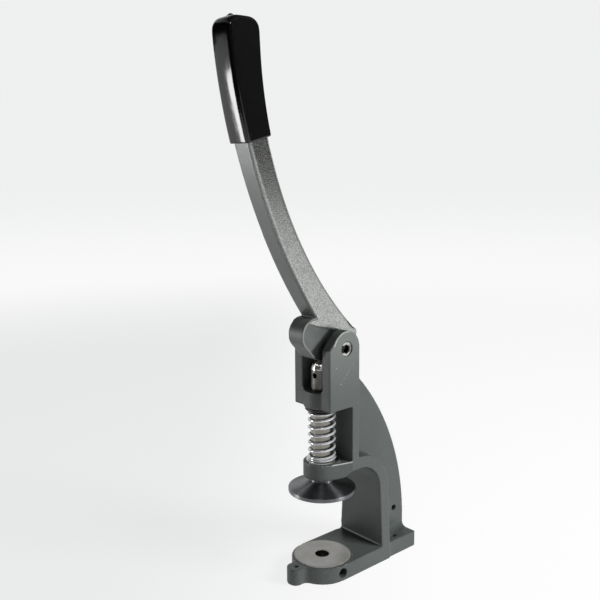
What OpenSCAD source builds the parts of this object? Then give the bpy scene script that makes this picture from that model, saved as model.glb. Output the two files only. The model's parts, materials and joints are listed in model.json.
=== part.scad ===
// Hand lever press with a cast bow frame, a cam lever and a spring returned ram.
// Millimetres. +Z is up, the front is -Y, the ram runs down the Z axis and z = 0 is the bench.

/* [Foot plate] */
// Width of the foot plate, and of the bow where it leaves the plate
base_w = 54; // [52:0.5:58]
// Height of the foot plate
base_h = 14.4; // [13:0.2:18]
// Diameter of the machined anvil pad
pad_d = 50; // [44:0.5:51]
// Height of the pad above the plate
pad_rise = 1.1; // [0.5:0.1:3]
// Bore in the pad that takes a lower die's shank
anvil_d = 12.2; // [10:0.1:14]
// Front lug: from the ram axis forward to its screw hole
lug_reach = 31.3; // [30:0.1:34]
// Front lug: diameter
lug_d = 15.4; // [13:0.2:18]
// Radius of the hollow that blends the lug into the plate
lug_blend = 5; // [3:0.5:8]
// Hold-down screw holes
screw_hole_d = 4.6; // [4:0.1:6]
// Tail block: width
tail_w = 52; // [50:0.5:54]
// Tail block: height
tail_h = 14.8; // [13:0.2:18]
// Tail block: from the ram axis back to its end
tail_end = 95.8; // [92:0.2:102]
// Tail block: from side to side between its two screw holes
tail_hole_span = 37; // [34:0.5:41]
// Tail block: from the ram axis back to the screw holes
tail_hole_back = 74; // [71:0.5:84]

/* [Bow] */
// From the ram axis back to the column's face
throat = 49.4; // [45:0.2:51]
// Height of the throat's roof above the bench
throat_h = 94.4; // [90:0.2:100]
// Inside round of the throat
throat_r = 22.4; // [16:0.2:24]
// Thickness of the bow, measured across its bend
bow_t = 10.8; // [9:0.2:12]
// Width of the head, and of the bow at its top
head_w = 44.4; // [42:0.2:47]
// Thickness of the web behind the bow
web_t = 19.6; // [16:0.2:22]
// Radius of the web's long back edge
web_r = 217; // [210:1:240]
// Height at which the web's back edge stands upright
web_level = 22; // [18:0.5:26]
// Hollow blend between the web and the tail block
web_blend = 5.5; // [3:0.5:6]
// Cross hole in the web
web_hole_d = 5.6; // [4:0.1:7]
// Height of the cross hole
web_hole_up = 36; // [32:0.5:44]
// From the column's back to the cross hole
web_hole_back = 23.5; // [20:0.5:25]

/* [Guides] */
// Lower guide boss: diameter
boss_d = 32.6; // [30:0.2:36]
// Lower guide boss: height
boss_h = 13.8; // [12:0.2:17]
// How far the lower guide hangs below the throat's roof
boss_drop = 4.8; // [3:0.2:6]
// From the ram axis back to where the lower guide's underside starts to rise
boss_back = 8; // [6:0.5:11]
// Clear height between the lower guide and the head, where the spring works
window_h = 49.3; // [47:0.1:54]
// From the ram axis back to the strip behind the spring
strip_back = 15.6; // [15.2:0.1:16.5]
// Upper guide boss: height
guide_h = 15; // [13:0.2:16]
// Upper guide boss: diameter
guide_d = 31.6; // [29:0.2:34]
// From the ram axis forward to the cheeks' front faces
head_front = 11.2; // [10:0.1:13]

/* [Fork] */
// Width of the slot between the cheeks
slot_w = 24.5; // [23:0.1:26]
// Hollow in the slot's lower corners
slot_hollow = 3; // [1:0.5:3]
// From the ram axis back to the lever's pivot
pivot_back = 8.5; // [7.5:0.1:9.5]
// From the head's underside up to the pivot
pivot_up = 52; // [50:0.2:58]
// Room under the lever's hub
hub_room = 4.2; // [3.6:0.1:8]
// Radius of the ears round the pivot
ear_r = 15.2; // [14:0.1:17]
// Where the ear's round runs off to the cheek's front, in degrees from the back
ear_runoff = 138; // [130:1:142]

/* [Pivot screw] */
// Diameter of the smooth shank that the lever turns on
pivot_d = 12.4; // [11:0.1:13]
// Diameter of the screwed end in the far ear
pivot_end_d = 10; // [8:0.1:10.5]
// How far the screw's head end lies below the ear's face
pivot_sink = 0.7; // [0.2:0.1:2]
// Hexagon socket across flats
pivot_key = 6; // [5:0.1:7]
// Hexagon socket depth
pivot_key_depth = 5; // [3:0.1:7]

/* [Ram] */
// Diameter of the ram
ram_d = 19; // [17.5:0.1:19.4]
// Radius of the rounded top that the cam presses on
dome_r = 13.5; // [10:0.1:14]
// Cross hole near the top, for a bar: diameter
bar_hole_d = 4.4; // [3:0.1:6]
// Cross hole: below the top of the ram
bar_hole_down = 12; // [10:0.5:16]
// Cross hole: its turn from the front to the right, in degrees
bar_hole_turn = 8; // [0:1:90]
// Spigot that the foot is pressed on
spigot_d = 16; // [15.6:0.1:16.6]
// Socket for an upper die's shank
socket_d = 12.2; // [10:0.1:13]
// Depth of the socket
socket_depth = 14; // [10:0.5:18]

/* [Foot] */
// Diameter of the foot's rim
foot_d = 59; // [52:0.5:64]
// Height of the rim
foot_rim = 3.6; // [2.5:0.1:5]
// Height of the cone on top of the rim
foot_cone = 6.5; // [5:0.1:9]
// Height of the neck on top of the cone
foot_neck = 3.2; // [2:0.1:5]
// Diameter of the neck
neck_d = 21.4; // [20.5:0.1:24]
// Clear height between the foot and the lower guide, with the lever up
foot_gap = 0.7; // [0.4:0.1:3]
// Edge break on the rim
rim_break = 0.5; // [0.2:0.1:1]

/* [Spring] */
// Wire diameter
wire_d = 2.2; // [1.8:0.1:2.3]
// Clear space between the wire and the ram
coil_gap = 0.25; // [0.2:0.05:1]
// Turns, the closed ones at both ends included
turns = 7.6; // [6.6:0.1:8]
// Where the wire starts, in degrees from the right
coil_start = 326; // [0:1:359]
// Rise of the closed turns, above one wire
end_rise = 0.45; // [0.45:0.01:0.8]
// Seat washer under the spring: diameter
seat_d = 27.4; // [26.4:0.1:29]
// Seat washer: thickness
seat_t = 1.2; // [0.8:0.1:2]
// Cup washer on top of the spring: diameter
cup_d = 28.8; // [28:0.1:30]
// Cup washer: thickness
cup_t = 2.2; // [2:0.1:3]
// Snap ring in the ram's groove: thickness
ring_t = 1.1; // [0.8:0.1:1.4]
// Snap ring: wall
ring_wall = 2.9; // [2.6:0.1:3.2]
// Depth of the ram's groove
groove = 0.7; // [0.5:0.05:0.9]
// Gap of the snap ring, in degrees
ring_mouth = 60; // [40:1:90]

/* [Lever] */
// Thickness of the arm
arm_t = 19.6; // [18.8:0.1:21]
// Rounded edges of the arm
arm_edge = 2.4; // [1.5:0.1:3]
// Thickness of the cam and the hub
cam_t = 18; // [16.5:0.1:18.6]
// Radius of the cam's nose
nose_r = 13.9; // [13:0.1:14.5]
// Nose: ahead of the pivot
nose_ahead = 24.1; // [23:0.1:25]
// Nose: above the pivot
nose_above = 13.4; // [12.5:0.1:14.5]
// Radius of the cam's working lobe
lobe_r = 12.6; // [11.5:0.1:13]
// Lobe: ahead of the pivot
lobe_ahead = 16.5; // [15.5:0.1:17.5]
// Lobe: above the pivot
lobe_above = 3.3; // [2.5:0.1:4.5]
// Radius of the hub
hub_r = 13; // [12:0.1:13.2]
// Height of the arm's top above the pivot
arm_top = 255.5; // [240:0.5:265]
// Front edge: radius of its curve
front_r = 459; // [430:1:500]
// Front edge: how far it leans forward of the pivot at the grip's top
front_lean = 105.2; // [100:0.2:109]
// Back edge: radius of its curve
back_r = 329; // [310:1:350]
// Depth of the arm, front to back, at the grip's top
tip_depth = 24.8; // [21:0.1:26]
// Heel behind the pivot
heel_back = 23.8; // [22:0.1:26]
// Heel above the pivot
heel_above = 11.4; // [11:0.1:14]
// Round of the heel
heel_r = 5; // [3:0.1:6]
// Step where the arm stands proud of the cam: above the pivot
step_up = 12.8; // [12:0.1:14]
// Step: its fall to the back, in degrees
step_fall = 19.6; // [16:0.1:22]

/* [Grip] */
// Thickness of the grip, side to side
grip_t = 24.2; // [23.4:0.1:28]
// Wall of the grip over the arm's front
grip_wall = 3; // [2:0.1:4]
// Wall of the grip over the arm's back
grip_wall_back = 2; // [1.6:0.1:4]
// Rounded edges of the grip
grip_edge = 6.5; // [4:0.1:7.5]
// Length of the grip
grip_l = 86.5; // [78:0.5:106]
// Closed top of the grip above the arm
grip_cap = 3.2; // [3:0.1:8]
// Round of the closed top
grip_crown = 9.5; // [5:0.1:10]
// Drip on the closed top: diameter
drip_d = 6.4; // [5:0.1:8]
// Drip: height
drip_h = 2.6; // [0.8:0.1:3]
// Drip: ahead of the top's middle
drip_ahead = 4; // [0:0.1:5]
// Tilt of the grip's lower rim, in degrees
grip_tilt = 14; // [0:1:20]
// Where the lower rim lies at the grip's length: behind the top's middle
grip_rim_back = 16; // [10:0.5:20]

/* [Die screw] */
// Diameter of the set screw that holds the lower die
die_screw_d = 8.4; // [7:0.1:9]
// Length of the screw's threaded part
die_screw_l = 10; // [8:0.1:12]
// Diameter of its point
die_point_d = 5; // [4:0.1:6]
// How far the screw lies inside the plate's side
die_screw_sink = 5; // [4:0.1:5.5]
// Hexagon socket across flats
die_key = 4; // [3:0.1:5]
// Hexagon socket depth
die_key_depth = 4; // [3:0.1:6]
// Set back of the point from the die's bore
die_point_sink = 0.5; // [0.3:0.1:1]

/* [Fits] */
// Running clearance of the ram, the pivot and the die screw, on the radius
run = 0.05; // [0.02:0.01:0.1]
// Clearance of pressed and slipped-on pieces, on the radius
slip = 0.03; // [0.02:0.01:0.08]
// Side clearance of the lever's hub in the fork
side_play = 0.25; // [0.15:0.05:0.5]
// Clearance of the cam above the ram, with the lever up
cam_gap = 0.3; // [0.3:0.05:0.6]
// Clearance between the cup washer and the head
cup_gap = 0.6; // [0.4:0.05:1]
// Clearance between the spring's top and the cup washer
coil_play = 0.3; // [0.2:0.05:0.6]
// Room round the snap ring in the cup washer
ring_room = 0.2; // [0.1:0.05:0.4]

/* [Hidden] */
$fn = 96;
// Facets of the lever's long arcs
arc_facets = 360;
far = 400;
// Least step where a hollow runs out on a round, so that no knife edge is left
hair = 0.02;
pad_top = base_h + pad_rise;
col_back = throat + bow_t;
corner = [throat - throat_r, throat_h - throat_r];
boss_z = throat_h - boss_drop;
shelf_z = boss_z + boss_h;
head_z = shelf_z + window_h;
floor_z = head_z + guide_h;
pivot = [pivot_back, head_z + pivot_up];
head_back = pivot_back + ear_r;
hub_floor = pivot[1] - hub_r - hub_room;
web_c = [tail_end + 0.6 - web_r, web_level];
ram_r = ram_d / 2;
bore_r = ram_r + run;
nose = pivot + [-nose_ahead, nose_above];
lobe = pivot + [-lobe_ahead, lobe_above];
// Height of the dome's centre that keeps cam_gap to a circle, and to the flat between two circles
function under(c, r) = let (s = r + dome_r + cam_gap, y = c[0])
    abs(y) >= s ? far : c[1] - sqrt(s * s - y * y);
function facing(c1, r1, c2, r2, side) = let (d = c2 - c1)
    atan2(d[1], d[0]) + side * acos((r1 - r2) / norm(d));
function under_flat(c1, r1, c2, r2) = let (a = facing(c1, r1, c2, r2, -1), n = [cos(a), sin(a)])
    (n * c2 + r2 + dome_r + cam_gap) / n[1];
dome_c = min(under(nose, nose_r), under(lobe, lobe_r), under(pivot, hub_r),
             under_flat(lobe, lobe_r, pivot, hub_r));
dome_base = dome_c + sqrt(dome_r * dome_r - ram_r * ram_r);
ram_top = dome_c + dome_r;
foot_top = boss_z - foot_gap;
foot_up = foot_top - foot_neck - foot_cone - foot_rim;
ring_r = ram_r - groove;
cup_top = head_z - cup_gap;
cup_low = cup_top - cup_t;
ring_z = cup_top - ring_t;
seat_top = shelf_z + seat_t;
coil_r = ram_r + coil_gap + wire_d / 2;
coil_low = seat_top + wire_d / 2;
coil_high = cup_low - coil_play - wire_d / 2;
// Centre of a round of radius r through two points, on the side towards +Y
function round_c(p, q, r) = let (m = (p + q) / 2, d = q - p, l = norm(d))
    m + [d[1], -d[0]] / l * sqrt(r * r - l * l / 4);
arm_z = pivot[1] + arm_top;
front_c = round_c(nose + [0.5, nose_r + 0.6], [pivot[0] - front_lean, arm_z - 5], front_r);
back_c = round_c(pivot + [heel_back, heel_above], [pivot[0] - front_lean + tip_depth, arm_z - 5], back_r);
heel_a = 180 - asin((pivot[1] + heel_above - heel_r / 2 - back_c[1]) / (back_r + heel_r));
heel_c = back_c + (back_r + heel_r) * [cos(heel_a), sin(heel_a)];
grip_top = arm_z + grip_cap;
grip_low = grip_top - grip_l;
// Where the grip's front and back stand below its rounded top
grip_z = grip_top - grip_crown;
grip_front = front_c[0] - sqrt(pow(front_r + grip_wall, 2) - pow(grip_z - front_c[1], 2));
grip_back = back_c[0] - sqrt(pow(back_r - grip_wall_back, 2) - pow(grip_z - back_c[1], 2));
plate_side = base_w / 2;
// From the die screw's outer end to its point
point_l = plate_side - die_screw_sink - anvil_d / 2 - die_point_sink;
key_f = 2 / sqrt(3);

// A profile drawn as (back, up), given a thickness to both sides of the middle
module side(t) rotate([90, 0, 90]) linear_extrude(height = t, center = true) children();
// Two discs and the flats that touch both
module belt(c1, r1, c2, r2) {
    translate(c1) circle(r = r1);
    translate(c2) circle(r = r2);
    a = facing(c1, r1, c2, r2, 1);
    b = facing(c1, r1, c2, r2, -1);
    polygon([c1 + r1 * [cos(a), sin(a)], c1, c1 + r1 * [cos(b), sin(b)],
             c2 + r2 * [cos(b), sin(b)], c2, c2 + r2 * [cos(a), sin(a)]]);
}
module hexagon(across, l) cylinder(d = across * key_f, h = l, $fn = 6);
// A shaft along X, from x to x + l
module along_x(x, y, z, d, l) translate([x, y, z]) rotate([0, 90, 0]) cylinder(d = d, h = l);

// The open throat, drawn from the side, with its roof and face moved back by g
module throat_void(g) {
    translate([-far, -far]) square([far + throat + g, far + corner[1]]);
    translate([-far, -far]) square([far + corner[0], far + throat_h + g]);
    translate(corner) circle(r = throat_r + g);
}
// The bow from the side: column, bend and the leg under the shelf
module bow_side() difference() {
    union() {
        square([col_back, corner[1]]);
        intersection() {
            translate(corner) circle(r = throat_r + bow_t);
            translate(corner) square(far);
        }
        translate([strip_back, corner[1]]) square([corner[0] - strip_back, throat_r + bow_t]);
    }
    throat_void(0);
}
module web_side() difference() {
    intersection() {
        translate(web_c) circle(r = web_r);
        translate([strip_back + 3, base_h / 2]) square([far, far]);
    }
    throat_void(bow_t / 2);
}
// Head and strip from the side, with the ears' rounds run off to the front
module head_side() {
    t = pivot + ear_r * [cos(ear_runoff), sin(ear_runoff)];
    s = (t[0] + head_front) / sin(ear_runoff);
    translate([strip_back, throat_h + 1]) square([head_back - strip_back, pivot[1] - throat_h - 1]);
    translate([-head_front, head_z]) square([head_front + head_back, pivot[1] - head_z]);
    translate(pivot) circle(r = ear_r);
    polygon([pivot, [-head_front, pivot[1]], [-head_front, t[1] + s * cos(ear_runoff)], t]);
}
// The narrowing of the bow, from the front
module bow_front() polygon([[-base_w / 2, 0], [base_w / 2, 0], [base_w / 2, base_h], [head_w / 2, throat_h],
    [head_w / 2, far], [-head_w / 2, far], [-head_w / 2, throat_h], [-base_w / 2, base_h]]);
// Foot plate from above, its lug blended in by hollows
module plate_plan() {
    r = base_w / 2;
    q = lug_d / 2;
    v = (pow(lug_reach, 2) + pow(r + lug_blend, 2) - pow(q + lug_blend, 2)) / (2 * lug_reach);
    u = sqrt(pow(r + lug_blend, 2) - v * v);
    circle(r = r);
    translate([-r, 0]) square([base_w, col_back]);
    translate([0, -lug_reach]) circle(r = q);
    difference() {
        polygon([[0, 0], [u, -v], [0, -lug_reach], [-u, -v]]);
        for (s = [-1, 1]) translate([s * u, -v]) circle(r = lug_blend - hair);
    }
}
// The lower guide and the shelf that carries it, from above
module shelf_plan() {
    w = head_w / 2;
    p = [w, strip_back + 1];
    a = atan2(p[1], p[0]) - acos(boss_d / 2 / norm(p));
    t = boss_d / 2 * [cos(a), sin(a)];
    circle(d = boss_d);
    polygon([[0, 0], t, p, [-p[0], p[1]], [-t[0], t[1]]]);
}
// The fork's slot from the front, hollow in its lower corners
module slot_front() {
    w = slot_w / 2;
    h = slot_hollow;
    translate([-w, h]) square([slot_w, far]);
    translate([h - w, 0]) square([slot_w - 2 * h, far]);
    for (s = [-1, 1]) translate([s * (w - h), h]) circle(r = h);
}
module frame_casting() color("dimgray") difference() {
    union() {
        linear_extrude(height = base_h) plate_plan();
        cylinder(d = pad_d, h = pad_top);
        translate([-tail_w / 2, throat + 1, 0]) cube([tail_w, tail_end - throat - 1, tail_h]);
        intersection() {
            side(base_w) bow_side();
            rotate([90, 0, 0]) linear_extrude(height = 4 * far, center = true) bow_front();
        }
        side(web_t) web_side();
        // hollow blends of the web into the tail block
        for (s = [-1, 1]) translate([s * web_t / 2, col_back - 1, tail_h])
            mirror([s < 0 ? 1 : 0, 0, 0]) rotate([90, 0, 180]) mirror([1, 0, 0])
            linear_extrude(height = tail_end - col_back + 1) difference() {
                translate([-1, -1]) square(web_blend + 1);
                translate([web_blend, web_blend]) circle(r = web_blend);
            }
        // the lower guide, whose underside rises to the throat's roof behind the ram
        difference() {
            translate([0, 0, boss_z]) linear_extrude(height = boss_h) shelf_plan();
            side(2 * head_w) polygon([[boss_back, 0], [boss_back, boss_z], [strip_back + 1, throat_h],
                [far, throat_h], [far, 0]]);
        }
        side(head_w) head_side();
        translate([0, 0, head_z]) cylinder(d = guide_d, h = guide_h);
    }
    // fork slot, and its way through above the hub's floor
    translate([0, strip_back, floor_z]) rotate([90, 0, 0]) linear_extrude(height = far) slot_front();
    translate([-slot_w / 2, -far, hub_floor]) cube([slot_w, 2 * far, far]);
    cylinder(d = anvil_d, h = 3 * pad_top, center = true);
    translate([0, 0, boss_z - 5]) cylinder(r = bore_r, h = floor_z - boss_z + 10);
    translate([0, -lug_reach, -1]) cylinder(d = screw_hole_d, h = base_h + 2);
    for (s = [-1, 1]) translate([s * tail_hole_span / 2, tail_hole_back, -1])
        cylinder(d = screw_hole_d, h = tail_h + 2);
    along_x(-far, col_back + web_hole_back, web_hole_up, web_hole_d, 2 * far);
    along_x(0, pivot[0], pivot[1], pivot_d + 2 * run, far);
    along_x(-far, pivot[0], pivot[1], pivot_end_d + 2 * slip, far);
    // die screw: its thread, then the hole of its point
    along_x(anvil_d / 2 + 2.2, 0, base_h / 2, die_screw_d + 2 * run, far);
    along_x(0, 0, base_h / 2, die_point_d + 2 * run, far);
}

module ram_rod() color("silver") difference() {
    union() {
        translate([0, 0, foot_up]) cylinder(d = spigot_d, h = foot_top - foot_up + 1);
        translate([0, 0, foot_top]) cylinder(r = ram_r, h = dome_base - foot_top);
        intersection() {
            translate([0, 0, dome_c]) sphere(r = dome_r);
            translate([0, 0, dome_base - 1]) cylinder(r = ram_r, h = far);
        }
    }
    translate([0, 0, foot_up - 1]) cylinder(d = socket_d, h = socket_depth + 1);
    translate([0, 0, ring_z]) difference() {
        cylinder(r = ram_r + 1, h = ring_t);
        translate([0, 0, -1]) cylinder(r = ring_r, h = ring_t + 2);
    }
    translate([0, 0, ram_top - bar_hole_down]) rotate([90, 0, bar_hole_turn])
        cylinder(d = bar_hole_d, h = far, center = true);
}

module ram_foot() color("#222222") difference() {
    r = foot_d / 2;
    cone_up = foot_up + foot_rim;
    rotate_extrude() polygon([[0, foot_up], [r - rim_break, foot_up], [r, foot_up + rim_break], [r, cone_up],
        [neck_d / 2, cone_up + foot_cone], [neck_d / 2, foot_top], [0, foot_top]]);
    translate([0, 0, foot_up - 1]) cylinder(r = spigot_d / 2 + slip, h = far);
}

module snap_ring() color("#303030") translate([0, 0, ring_z]) rotate([0, 0, 90 + ring_mouth / 2])
    rotate_extrude(angle = 360 - ring_mouth) translate([ring_r + slip, 0]) square([ring_wall, ring_t]);

module cup_washer() color("#303030") difference() {
    translate([0, 0, cup_low]) cylinder(d = cup_d, h = cup_t);
    translate([0, 0, cup_low - 1]) cylinder(r = ram_r + slip, h = cup_t + 2);
    translate([0, 0, ring_z]) cylinder(r = ring_r + ring_wall + ring_room, h = cup_t);
}

module seat_washer() color("silver") difference() {
    translate([0, 0, shelf_z]) cylinder(d = seat_d, h = seat_t);
    translate([0, 0, shelf_z - 1]) cylinder(r = ram_r + coil_gap, h = seat_t + 2);
}

// Height of the wire's middle after u turns: closed turns at both ends, even ones between
function coil_z(u) = let (c = wire_d + end_rise, h = coil_high - coil_low, p = (h - 2 * c) / (turns - 2))
    coil_low + (u < 1 ? c * u : u > turns - 1 ? h - c * (turns - u) : c + p * (u - 1));
// Points on a turn, which stand out so far that the flats between them keep clear of the ram
coil_points = 8;
coil_steps = round(turns * coil_points);
coil_out_r = coil_r / cos(180 / coil_points);
function coil_a(k) = coil_start + 360 * turns * k / coil_steps;
function coil_p(k) = concat(coil_out_r * [cos(coil_a(k)), sin(coil_a(k))], coil_z(turns * k / coil_steps));
function coil_q(k) = let (n = coil_steps, a = coil_a(k))
    k < 0 ? coil_p(0) - wire_d * [-sin(coil_a(0)), cos(coil_a(0)), 0] :
    k > n ? coil_p(n) + wire_d * [-sin(coil_a(n)), cos(coil_a(n)), 0] : coil_p(k);
function coil_out(k) = let (a = coil_a(min(max(k, 0), coil_steps))) [cos(a), sin(a), 0];
coil_ring = [for (k = [-1 : coil_steps + 1], j = [0 : 5])
    coil_q(k) + wire_d / 2 * (cos(60 * j) * coil_out(k) + sin(60 * j) * [0, 0, 1])];
coil_m = coil_steps + 3;
coil_face = concat(
    [for (k = [0 : coil_m - 2], j = [0 : 5]) [6 * k + j, 6 * k + 6 + j, 6 * k + (j + 1) % 6]],
    [for (k = [0 : coil_m - 2], j = [0 : 5]) [6 * k + (j + 1) % 6, 6 * k + 6 + j, 6 * k + 6 + (j + 1) % 6]],
    [for (j = [1 : 4]) [0, j, j + 1]],
    [for (j = [1 : 4]) [6 * coil_m - 6, 6 * coil_m - 6 + j + 1, 6 * coil_m - 6 + j]]);
// Least gap of the spring to itself, on points five or more apart round the coil
coil_least = min([for (i = [-1 : coil_steps + 1], k = [i + 5 : coil_steps + 1])
    norm(coil_q(i) - coil_q(k))]) - wire_d;
module return_spring() {
    echo(spring_least_gap = coil_least);
    color("gainsboro") polyhedron(coil_ring, coil_face);
}

// The bar between the arm's curves, grown by g at the front and h at the back, with rounded edges
module arm_bar(g, h, t, e) rotate([90, 0, 90]) difference() {
    translate(front_c) rotate_extrude($fn = arc_facets) {
        translate([0, -t / 2]) square([front_r + g - e, t]);
        translate([0, e - t / 2]) square([front_r + g, t - 2 * e]);
        for (s = [-1, 1]) translate([front_r + g - e, s * (t / 2 - e)]) circle(r = e);
    }
    translate(back_c) rotate_extrude($fn = arc_facets) difference() {
        translate([0, -t]) square([back_r - h + e, 2 * t]);
        translate([back_r - h, e - t / 2]) square([far, t - 2 * e]);
        for (s = [-1, 1]) translate([back_r - h + e, s * (t / 2 - e)]) circle(r = e);
    }
}
// Everything above the step and ahead of the heel, up to the arm's end
module above_step(top) difference() {
    polygon([pivot + [-8 * nose_ahead, step_up + 8 * nose_ahead * tan(step_fall)],
        pivot + [2 * heel_back, step_up - 2 * heel_back * tan(step_fall)],
        [pivot[0] + 2 * heel_back, top], [pivot[0] - 8 * nose_ahead, top]]);
    translate(heel_c) rotate(heel_a) translate([-2 * heel_back, 0]) square(4 * heel_back);
}
module lever_arm() color("gray") difference() {
    union() {
        intersection() {
            arm_bar(0, 0, arm_t, arm_edge);
            side(2 * arm_t) above_step(arm_z);
        }
        side(arm_t) translate(heel_c) circle(r = heel_r);
        side(arm_t) intersection() {
            translate(nose) circle(r = nose_r);
            above_step(arm_z);
        }
        side(cam_t) {
            belt(nose, nose_r, lobe, lobe_r);
            belt(lobe, lobe_r, pivot, hub_r);
            belt(nose, nose_r, pivot, hub_r);
            belt(pivot, hub_r, heel_c, heel_r);
        }
        along_x(-(slot_w / 2 - side_play), pivot[0], pivot[1], 2 * hub_r, slot_w - 2 * side_play);
    }
    along_x(-far, pivot[0], pivot[1], pivot_d + 2 * run, 2 * far);
}

module grip_sleeve() color("#1c1c1c") difference() {
    // the drip is the top of a ball that lies in the closed top
    ball = (drip_d * drip_d / 4 + drip_h * drip_h) / (2 * drip_h);
    mid = (grip_front + grip_back) / 2;
    union() {
        translate([0, mid - drip_ahead, grip_top + drip_h - ball]) sphere(r = ball);
        intersection() {
            arm_bar(grip_wall, grip_wall_back, grip_t, grip_edge);
            side(2 * grip_t) difference() {
                grip_end(grip_front, grip_back - grip_front, far);
                translate([mid + grip_rim_back, grip_low]) rotate(grip_tilt)
                    translate([-far / 2, -far]) square(far);
            }
            rotate([90, 0, 0]) linear_extrude(height = 4 * far, center = true)
                grip_end(-grip_t / 2, grip_t, 0);
        }
    }
    intersection() {
        arm_bar(slip, slip, arm_t + 2 * slip, arm_edge);
        side(2 * arm_t) above_step(arm_z + slip);
    }
}
// A grip w wide with a rounded top, its lower part grown by g to both sides
module grip_end(x, w, g) {
    c = grip_crown;
    translate([x - g, grip_low - grip_l]) square([w + 2 * g, 2 * grip_l - c]);
    translate([x + c, grip_low]) square([w - 2 * c, grip_l]);
    for (s = [c, w - c]) translate([x + s, grip_top - c]) circle(r = c);
}

module pivot_screw() color("silver") difference() {
    union() {
        along_x(-slot_w / 2, pivot[0], pivot[1], pivot_d, slot_w / 2 + head_w / 2 - pivot_sink);
        along_x(-head_w / 2 + 1, pivot[0], pivot[1], pivot_end_d, head_w / 2);
    }
    translate([head_w / 2 - pivot_sink + 1, pivot[0], pivot[1]]) rotate([0, -90, 0])
        hexagon(pivot_key, pivot_key_depth + 1);
}

module die_screw() color("#303030") translate([plate_side - die_screw_sink, 0, base_h / 2]) difference() {
    union() {
        along_x(-die_screw_l, 0, 0, die_screw_d, die_screw_l);
        along_x(-point_l, 0, 0, die_point_d, point_l - die_key_depth);
    }
    translate([1, 0, 0]) rotate([0, -90, 0]) hexagon(die_key, die_key_depth + 1);
}

frame_casting();
ram_rod();
ram_foot();
snap_ring();
cup_washer();
return_spring();
seat_washer();
lever_arm();
grip_sleeve();
pivot_screw();
die_screw();
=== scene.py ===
# %% [markdown]
# # A hand lever press, dressed in Blender
# The CAD model brings the sizes, the joints and plain solids. This lesson gives them their looks: cast edges
# that are round, turned and polished steel, hammered paint, dipped vinyl, and a small studio to see them in.
# Blender works in metres, and lengths in millimetres are marked as such. +Z is up, the press faces -Y, and
# the ram runs on the line x = 0, y = 0.

# %% Load the CAD model
import json
import math

import bpy
from mathutils import Matrix, Vector


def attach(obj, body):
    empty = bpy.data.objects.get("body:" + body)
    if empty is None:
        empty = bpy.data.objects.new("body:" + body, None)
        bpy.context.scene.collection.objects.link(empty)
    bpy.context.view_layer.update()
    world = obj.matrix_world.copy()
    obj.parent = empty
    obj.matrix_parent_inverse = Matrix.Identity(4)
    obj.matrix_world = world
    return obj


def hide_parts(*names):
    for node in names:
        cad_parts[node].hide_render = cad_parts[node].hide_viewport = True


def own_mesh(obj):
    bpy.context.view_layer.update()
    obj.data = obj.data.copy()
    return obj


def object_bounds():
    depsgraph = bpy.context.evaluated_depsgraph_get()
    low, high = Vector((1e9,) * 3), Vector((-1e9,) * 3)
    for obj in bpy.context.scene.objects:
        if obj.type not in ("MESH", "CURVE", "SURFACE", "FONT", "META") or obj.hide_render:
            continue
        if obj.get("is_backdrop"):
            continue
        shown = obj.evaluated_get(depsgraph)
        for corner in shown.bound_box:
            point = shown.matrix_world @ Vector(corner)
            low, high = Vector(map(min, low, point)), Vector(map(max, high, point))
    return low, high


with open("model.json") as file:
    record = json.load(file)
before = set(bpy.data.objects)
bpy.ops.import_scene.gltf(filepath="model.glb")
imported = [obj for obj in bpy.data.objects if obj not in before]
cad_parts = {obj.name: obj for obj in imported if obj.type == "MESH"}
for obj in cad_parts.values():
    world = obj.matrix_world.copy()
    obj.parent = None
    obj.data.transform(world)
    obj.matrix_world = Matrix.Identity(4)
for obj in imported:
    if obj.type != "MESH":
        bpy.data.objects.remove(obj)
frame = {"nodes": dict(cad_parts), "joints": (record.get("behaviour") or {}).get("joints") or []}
cad_low, cad_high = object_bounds()
MM = 0.001
joints = {joint["name"]: joint for joint in frame["joints"]}
PIVOT = tuple(length / MM for length in joints["lever_hinge"]["pos_m"][1:])
print("CAD nodes:", ", ".join(sorted(frame["nodes"])))
print("the lever's pivot, y and z in mm:", [round(length, 1) for length in PIVOT])

# %% [markdown]
# ## Camera
# The photograph was taken from the front right, a little above the press. The angles and the lens come from
# fitting a pinhole camera to the press's own circles and verticals. A camera looks along its own -Z, so its
# matrix has the picture's right, the picture's up and the way back as its three columns.

# %% Camera
CAMERA_SPOT = (0.48372, -0.45232, 0.36289)
turn, dip, roll = (math.radians(angle) for angle in (48.479, 10.122, -0.43))
right = Vector((math.cos(turn), math.sin(turn), 0))
level = Vector((-math.sin(turn), math.cos(turn), 0))
ahead = level * math.cos(dip) - Vector((0, 0, math.sin(dip)))
up = level * math.sin(dip) + Vector((0, 0, math.cos(dip)))
right, up = right * math.cos(roll) + up * math.sin(roll), up * math.cos(roll) - right * math.sin(roll)

camera = bpy.data.objects.new("camera", bpy.data.cameras.new("camera"))
camera.data.lens = 48
camera.data.sensor_width = 36
view = Matrix((right, up, -ahead)).transposed().to_4x4()
camera.matrix_world = Matrix.Translation(CAMERA_SPOT) @ view
bpy.context.collection.objects.link(camera)
scene = bpy.context.scene
scene.camera = camera
scene.view_settings.view_transform = "Standard"
print("camera looks along", [round(part, 3) for part in ahead])

# %% [markdown]
# ## Writing shaders as sums
# A material is a graph of nodes. Wiring dozens of Math nodes by hand hides what is meant, so a small class
# wraps a socket and lets Python's own signs add the nodes: `1 - mask * 0.5` makes two Math nodes. One method
# makes any other node from its type, its settings and its sockets.

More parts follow.
